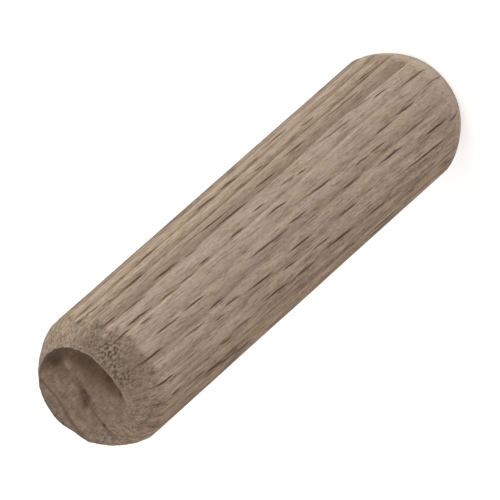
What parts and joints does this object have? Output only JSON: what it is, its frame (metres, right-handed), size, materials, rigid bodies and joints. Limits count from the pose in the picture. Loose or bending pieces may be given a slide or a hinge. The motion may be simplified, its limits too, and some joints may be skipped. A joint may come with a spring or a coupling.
{
  "type": "dowel pin",
  "caption": "Fluted wooden dowel pin with crowned chamfers, one end torn hollow where it was cut off; glued into matching holes to align and join two boards.",
  "frame": {"origin": "centre of the sound end face, which the pin stands on", "axes": "+Z along the pin, from the sound end to the torn end; -Y is the side that faces the picture's camera"},
  "size_m": [0.01, 0.01, 0.04],
  "materials": {
    "beech": "bare, machined"
  },
  "bodies": {
    "root": {"dowel_pin": "beech"}
  },
  "joints": []
}
